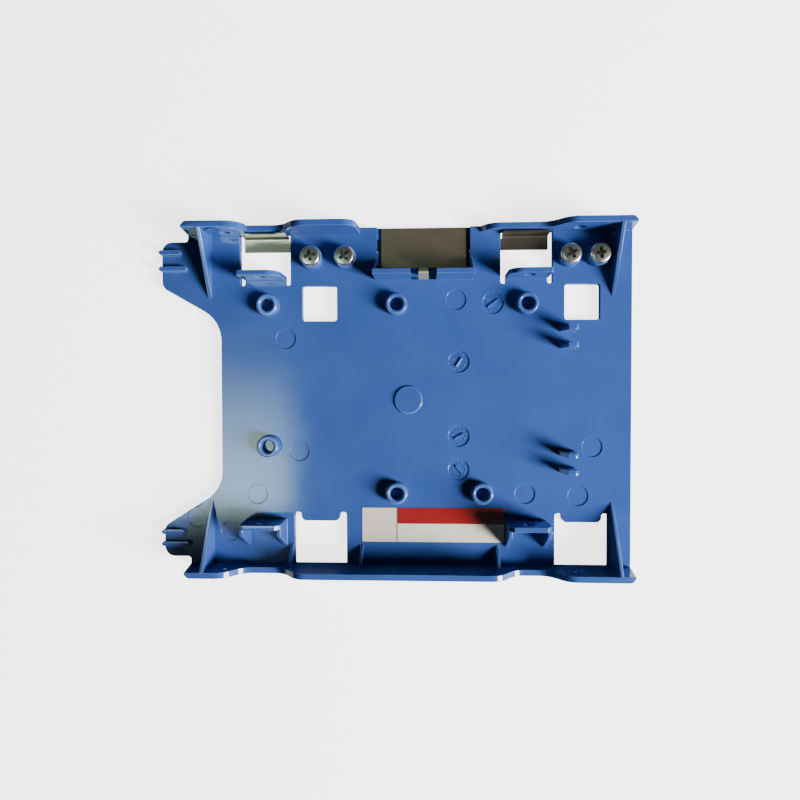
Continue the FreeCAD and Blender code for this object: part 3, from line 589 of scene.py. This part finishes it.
# Painted highlight: the rims are made a paler blue.
painted_rim_highlight = remap(tree, mask_outputs["Edges"], 0.0, 1.0, 0.0, 0.85)
body = blend(tree, painted_rim_highlight, body, (0.14, 0.30, 0.66, 1))
dusty = reckon(tree, "MULTIPLY", mask_outputs["Scratches"], 0.02)
tree.links.new(blend(tree, dusty, body, (0.3, 0.4, 0.6, 1)), shader.inputs["Base Color"])
gloss = remap(tree, mask_outputs["Patches"], 0.0, 1.0, 0.10, 0.14)
dull = remap(tree, mask_outputs["Scratches"], 0.0, 1.0, 0.0, 0.08)
duller_roots = remap(tree, mask_outputs["Roots"], 0.0, 1.0, 0.0, 0.4)
rough = reckon(tree, "ADD", reckon(tree, "ADD", gloss, dull), duller_roots)
tree.links.new(rough, shader.inputs["Roughness"])
print("colour and gloss take", len(tree.nodes), "nodes")

# %% Bump of the plastic
sunk = {"Height": noise(tree, coords, 90.0), "Strength": 0.5, "Distance": 0.06 * MM}
waves = add(tree, "ShaderNodeBump", sunk).outputs["Normal"]
pebbled = {"Height": mask_outputs["Grain"], "Strength": 0.12, "Distance": 0.02 * MM, "Normal": waves}
tree.links.new(add(tree, "ShaderNodeBump", pebbled).outputs["Normal"], shader.inputs["Normal"])
wear(tray, plastic)
wear(wheels, plastic)

# %% [markdown]
# ## Rolled sheet
#
# The strip is thin bright sheet. Rolling leaves faint lines along its length, so we stretch a noise along
# X rather than turn on anisotropy, which would blur every face alike. The wide plate in the middle
# carries a darker film, and the arms and the finger stay bright. Painted shade darkens the slots beside
# the plate, and painted shade makes the front arm darker than the rear one. Distance from the middle of
# the strip tells these zones apart.

# %% Zones along the strip
STRIP_MIDDLE = 8.95 * MM
sheet, tree, shader, coords, mask_outputs = start("rolled_sheet")
axes = add(tree, "ShaderNodeSeparateXYZ", {"Vector": coords}).outputs
from_middle = reckon(tree, "SUBTRACT", axes["X"], STRIP_MIDDLE)
away = add(tree, "ShaderNodeMath", {0: from_middle}, operation="ABSOLUTE").outputs[0]
# Painted shade: the slots beside the plate are darkened to a blue-black.
painted_slot_shade = remap(tree, away, 12.3 * MM, 12.5 * MM, 0.0, 1.0)
arms = remap(tree, away, 14.0 * MM, 15.0 * MM, 0.0, 1.0)
# Painted shade: the front arm is darkened, so it looks duller than the rear arm.
front_arm_shade = remap(tree, from_middle, 15.0 * MM, 25.0 * MM, 0.0, 1.0)
finger = remap(tree, axes["Y"], 38.0 * MM, 39.2 * MM, 1.0, 0.0)
print("zones take", len(tree.nodes), "nodes")

# %% Skin of the strip
drawn_out = {"Vector": coords, "Scale": (60.0, 5200.0, 5200.0)}
rolled = noise(tree, add(tree, "ShaderNodeMapping", drawn_out).outputs["Vector"], 1.0, 3.0)
film = blend(tree, mask_outputs["Patches"], (0.49, 0.43, 0.29, 1), (0.59, 0.52, 0.37, 1))
bright = blend(tree, rolled, (0.62, 0.59, 0.46, 1), (0.78, 0.74, 0.59, 1))
bright = blend(tree, front_arm_shade, bright, (0.36, 0.33, 0.27, 1))
skin = blend(tree, arms, blend(tree, painted_slot_shade, film, (0.03, 0.045, 0.08, 1)), bright)
tree.links.new(blend(tree, finger, skin, (0.90, 0.80, 0.57, 1)), shader.inputs["Base Color"])
tree.links.new(remap(tree, arms, 0.0, 1.0, 0.94, 1.0), shader.inputs["Metallic"])
satin = remap(tree, finger, 0.0, 1.0, 0.0, 0.16)
rough = reckon(tree, "ADD", remap(tree, rolled, 0.3, 0.7, 0.28, 0.32), satin)
tree.links.new(rough, shader.inputs["Roughness"])
lines = add(tree, "ShaderNodeBump", {"Height": rolled, "Strength": 0.06, "Distance": 0.004 * MM})
tree.links.new(lines.outputs["Normal"], shader.inputs["Normal"])
wear(strip, sheet)

# %% [markdown]
# ## Plated screws
#
# The plating is a pale metal with a hint of green. The shoulder of the head gets a painted highlight, and
# the cross recess gets painted shade. Pointiness could find such places, but it depends on how dense the
# mesh is, so we use the marks that we put on the faces.

# %% Screw material
plated, tree, shader, coords, mask_outputs = start("plated_screw")
skin = blend(tree, mask_outputs["Patches"], (0.56, 0.58, 0.47, 1), (0.70, 0.71, 0.60, 1))
# Painted highlight: the shoulder of each head is made paler.
skin = blend(tree, mask_outputs["Edges"], skin, (0.86, 0.86, 0.80, 1))
# Painted shade: the cross recess is darkened.
skin = blend(tree, reckon(tree, "MULTIPLY", mask_outputs["Roots"], 0.5), skin, (0.12, 0.115, 0.095, 1))
tree.links.new(skin, shader.inputs["Base Color"])
shader.inputs["Metallic"].default_value = 1.0
tree.links.new(remap(tree, mask_outputs["Grain"], 0.3, 0.7, 0.22, 0.38), shader.inputs["Roughness"])
pits = add(tree, "ShaderNodeBump", {"Height": mask_outputs["Grain"], "Strength": 0.2, "Distance": 0.01 * MM})
tree.links.new(pits.outputs["Normal"], shader.inputs["Normal"])
wear(screws, plated)

# %% [markdown]
# ## Printed film
#
# The sticker is satin film with plain fields of colour. The fields could be separate faces, but ink has
# no thickness, so position decides instead: a comparison on X splits off the square at one end, and one
# on Y splits the rest into a red band and a pale band. A thin dark line parts the square from the bands.
# Each comparison is a little soft, as a printed edge is.

# %% Comparisons on position
PRINT_BLUR = 0.04


def above(tree, value, limit):
    """One above the limit and zero below it, with the softness of a printed edge."""
    return remap(tree, value, (limit - PRINT_BLUR) * MM, (limit + PRINT_BLUR) * MM, 0.0, 1.0)


def between(tree, value, low, high):
    """One between two limits and zero outside them."""
    return reckon(tree, "SUBTRACT", above(tree, value, low), above(tree, value, high))


# %% Film material
OFF_FILM = -20.0
SQUARE_END = 0.85
DIVIDER = (0.9, 1.2)
BAND_SPLIT = -36.6
printed, tree, shader, coords, mask_outputs = start("printed_film")
axes = add(tree, "ShaderNodeSeparateXYZ", {"Vector": coords}).outputs
red = reckon(tree, "MULTIPLY", above(tree, axes["X"], DIVIDER[1]), above(tree, axes["Y"], BAND_SPLIT))
square = between(tree, axes["X"], OFF_FILM, SQUARE_END)
divider = between(tree, axes["X"], *DIVIDER)
paper = blend(tree, mask_outputs["Patches"], (0.72, 0.71, 0.61, 1), (0.78, 0.77, 0.67, 1))
paper = blend(tree, square, paper, (0.70, 0.64, 0.56, 1))
ink = blend(tree, mask_outputs["Patches"], (0.24, 0.0012, 0.003, 1), (0.28, 0.0014, 0.004, 1))
fields = blend(tree, divider, blend(tree, red, paper, ink), (0.03, 0.028, 0.026, 1))
tree.links.new(fields, shader.inputs["Base Color"])
tree.links.new(remap(tree, mask_outputs["Scratches"], 0.0, 1.0, 0.38, 0.55), shader.inputs["Roughness"])
fibres = add(tree, "ShaderNodeBump", {"Height": mask_outputs["Grain"], "Strength": 0.1, "Distance": 0.01 * MM})
tree.links.new(fibres.outputs["Normal"], shader.inputs["Normal"])
wear(sticker, printed)

# %% [markdown]
# ## Floor
#
# Product pictures are often taken on a white table. A brighter lamp could make the floor white, but it
# would bleach the plastic too. So the floor glows, and a Light Path node lets only the camera see that
# glow: the plastic is lit by the lamps and a dim sky alone, and keeps its true colour. The floor lies a
# hair below the tray, because two faces in one plane would show as speckles.

# %% Floor that looks white to the camera
HALF_FLOOR = 1.5
FLOOR_DROP = 0.2 * MM
WHITE_GLOW = 3.0
build = bmesh.new()
bmesh.ops.create_grid(build, x_segments=8, y_segments=8, size=HALF_FLOOR)
ground = bpy.data.meshes.new("floor")
build.to_mesh(ground)
build.free()
floor = bpy.data.objects.new("floor", ground)
floor.location.z = -FLOOR_DROP
bpy.context.scene.collection.objects.link(floor)
pale = bpy.data.materials.new("pale_floor")
pale.use_nodes = True
table = pale.node_tree.nodes["Principled BSDF"].inputs
table["Base Color"].default_value = (0.93, 0.93, 0.93, 1)
table["Roughness"].default_value = 0.7
table["Emission Color"].default_value = (1.0, 1.0, 1.0, 1)
seen = pale.node_tree.nodes.new("ShaderNodeLightPath").outputs["Is Camera Ray"]
pale.node_tree.links.new(reckon(pale.node_tree, "MULTIPLY", seen, WHITE_GLOW), table["Emission Strength"])
ground.materials.append(pale)
print("floor is", floor.dimensions.x, "m wide")

# %% [markdown]
# ## Lamps and sky
#
# One soft lamp stands low to the right of the picture, so shadows fall to the upper left and shallow
# relief shows. A weak card hangs where the glossy floor of the tray mirrors it. A plain card would mirror
# as a hard rectangle, so its glow fades along its length. It is there to be mirrored only, so it adds no
# light to matt surfaces, and the dim sky leaves the shadows deep. Only the camera sees a pale backdrop.


# %% Lamps
def lamp(name, spot, target, width, height, power, colour):
    """Soft rectangular lamp that looks from a spot at a target."""
    data = bpy.data.lights.new(name, "AREA")
    data.shape = "RECTANGLE"
    data.size = width
    data.size_y = height
    data.energy = power
    data.color = colour
    light = bpy.data.objects.new(name, data)
    light.location = spot
    light.rotation_euler = (Vector(spot) - Vector(target)).to_track_quat("Z", "Y").to_euler()
    bpy.context.scene.collection.objects.link(light)
    print(name, "lamp gives", power, "W")
    return light


lamp(
    "key", spot=(0.74, -0.30, 0.42), target=(0, 0, 0), width=0.28, height=0.44, power=28.4,
    colour=(1.0, 0.97, 0.94),
)
card = lamp(
    "card", spot=(-0.262, -0.042, 0.60), target=(-0.262, -0.042, 0), width=0.195, height=0.231, power=2.0,
    colour=(0.70, 1.0, 0.92),
)
card.visible_diffuse = False

# %% Fade the card along its length
card.data.use_nodes = True
glow = card.data.node_tree
over_card = glow.nodes.new("ShaderNodeNewGeometry").outputs["Parametric"]
along = add(glow, "ShaderNodeSeparateXYZ", {"Vector": over_card}).outputs["Y"]
glow.links.new(remap(glow, along, 0.15, 0.85, 0.05, 1.0), glow.nodes["Emission"].inputs["Strength"])
print("card nodes:", len(glow.nodes))

# %% Dim sky with a pale backdrop
world = bpy.data.worlds.new("studio")
world.use_nodes = True
sky = world.node_tree
dim = sky.nodes["Background"]
dim.inputs["Color"].default_value = (0.92, 0.96, 1.0, 1)
dim.inputs["Strength"].default_value = 0.03
backdrop = add(sky, "ShaderNodeBackground", {"Color": (1.0, 1.0, 1.0, 1), "Strength": WHITE_GLOW})
seen = sky.nodes.new("ShaderNodeLightPath").outputs["Is Camera Ray"]
either = add(sky, "ShaderNodeMixShader", {0: seen, 1: dim.outputs[0], 2: backdrop.outputs[0]})
sky.links.new(either.outputs[0], sky.nodes["World Output"].inputs["Surface"])
bpy.context.scene.world = world
print("sky nodes:", len(sky.nodes))

# %% [markdown]
# ## Camera
#
# The camera hangs almost straight above the tray, close enough that the walls lean outwards in the
# picture. A long lens from far away would hide those walls. Its place and angle come from fitting the
# holes of the tray to where they lie in the picture.

# %% Camera
lens = bpy.data.cameras.new("camera")
lens.sensor_width = 36
lens.lens = 27.9
lens.clip_start = 0.01
camera = bpy.data.objects.new("camera", lens)
camera.location = (9.5664 * MM, 4.3479 * MM, 184.3043 * MM)
camera.rotation_euler = (-0.0241, 0.0414, -0.0022)
bpy.context.scene.collection.objects.link(camera)
bpy.context.scene.camera = camera
print("camera hangs", round(camera.location.z / MM), "mm above the floor")
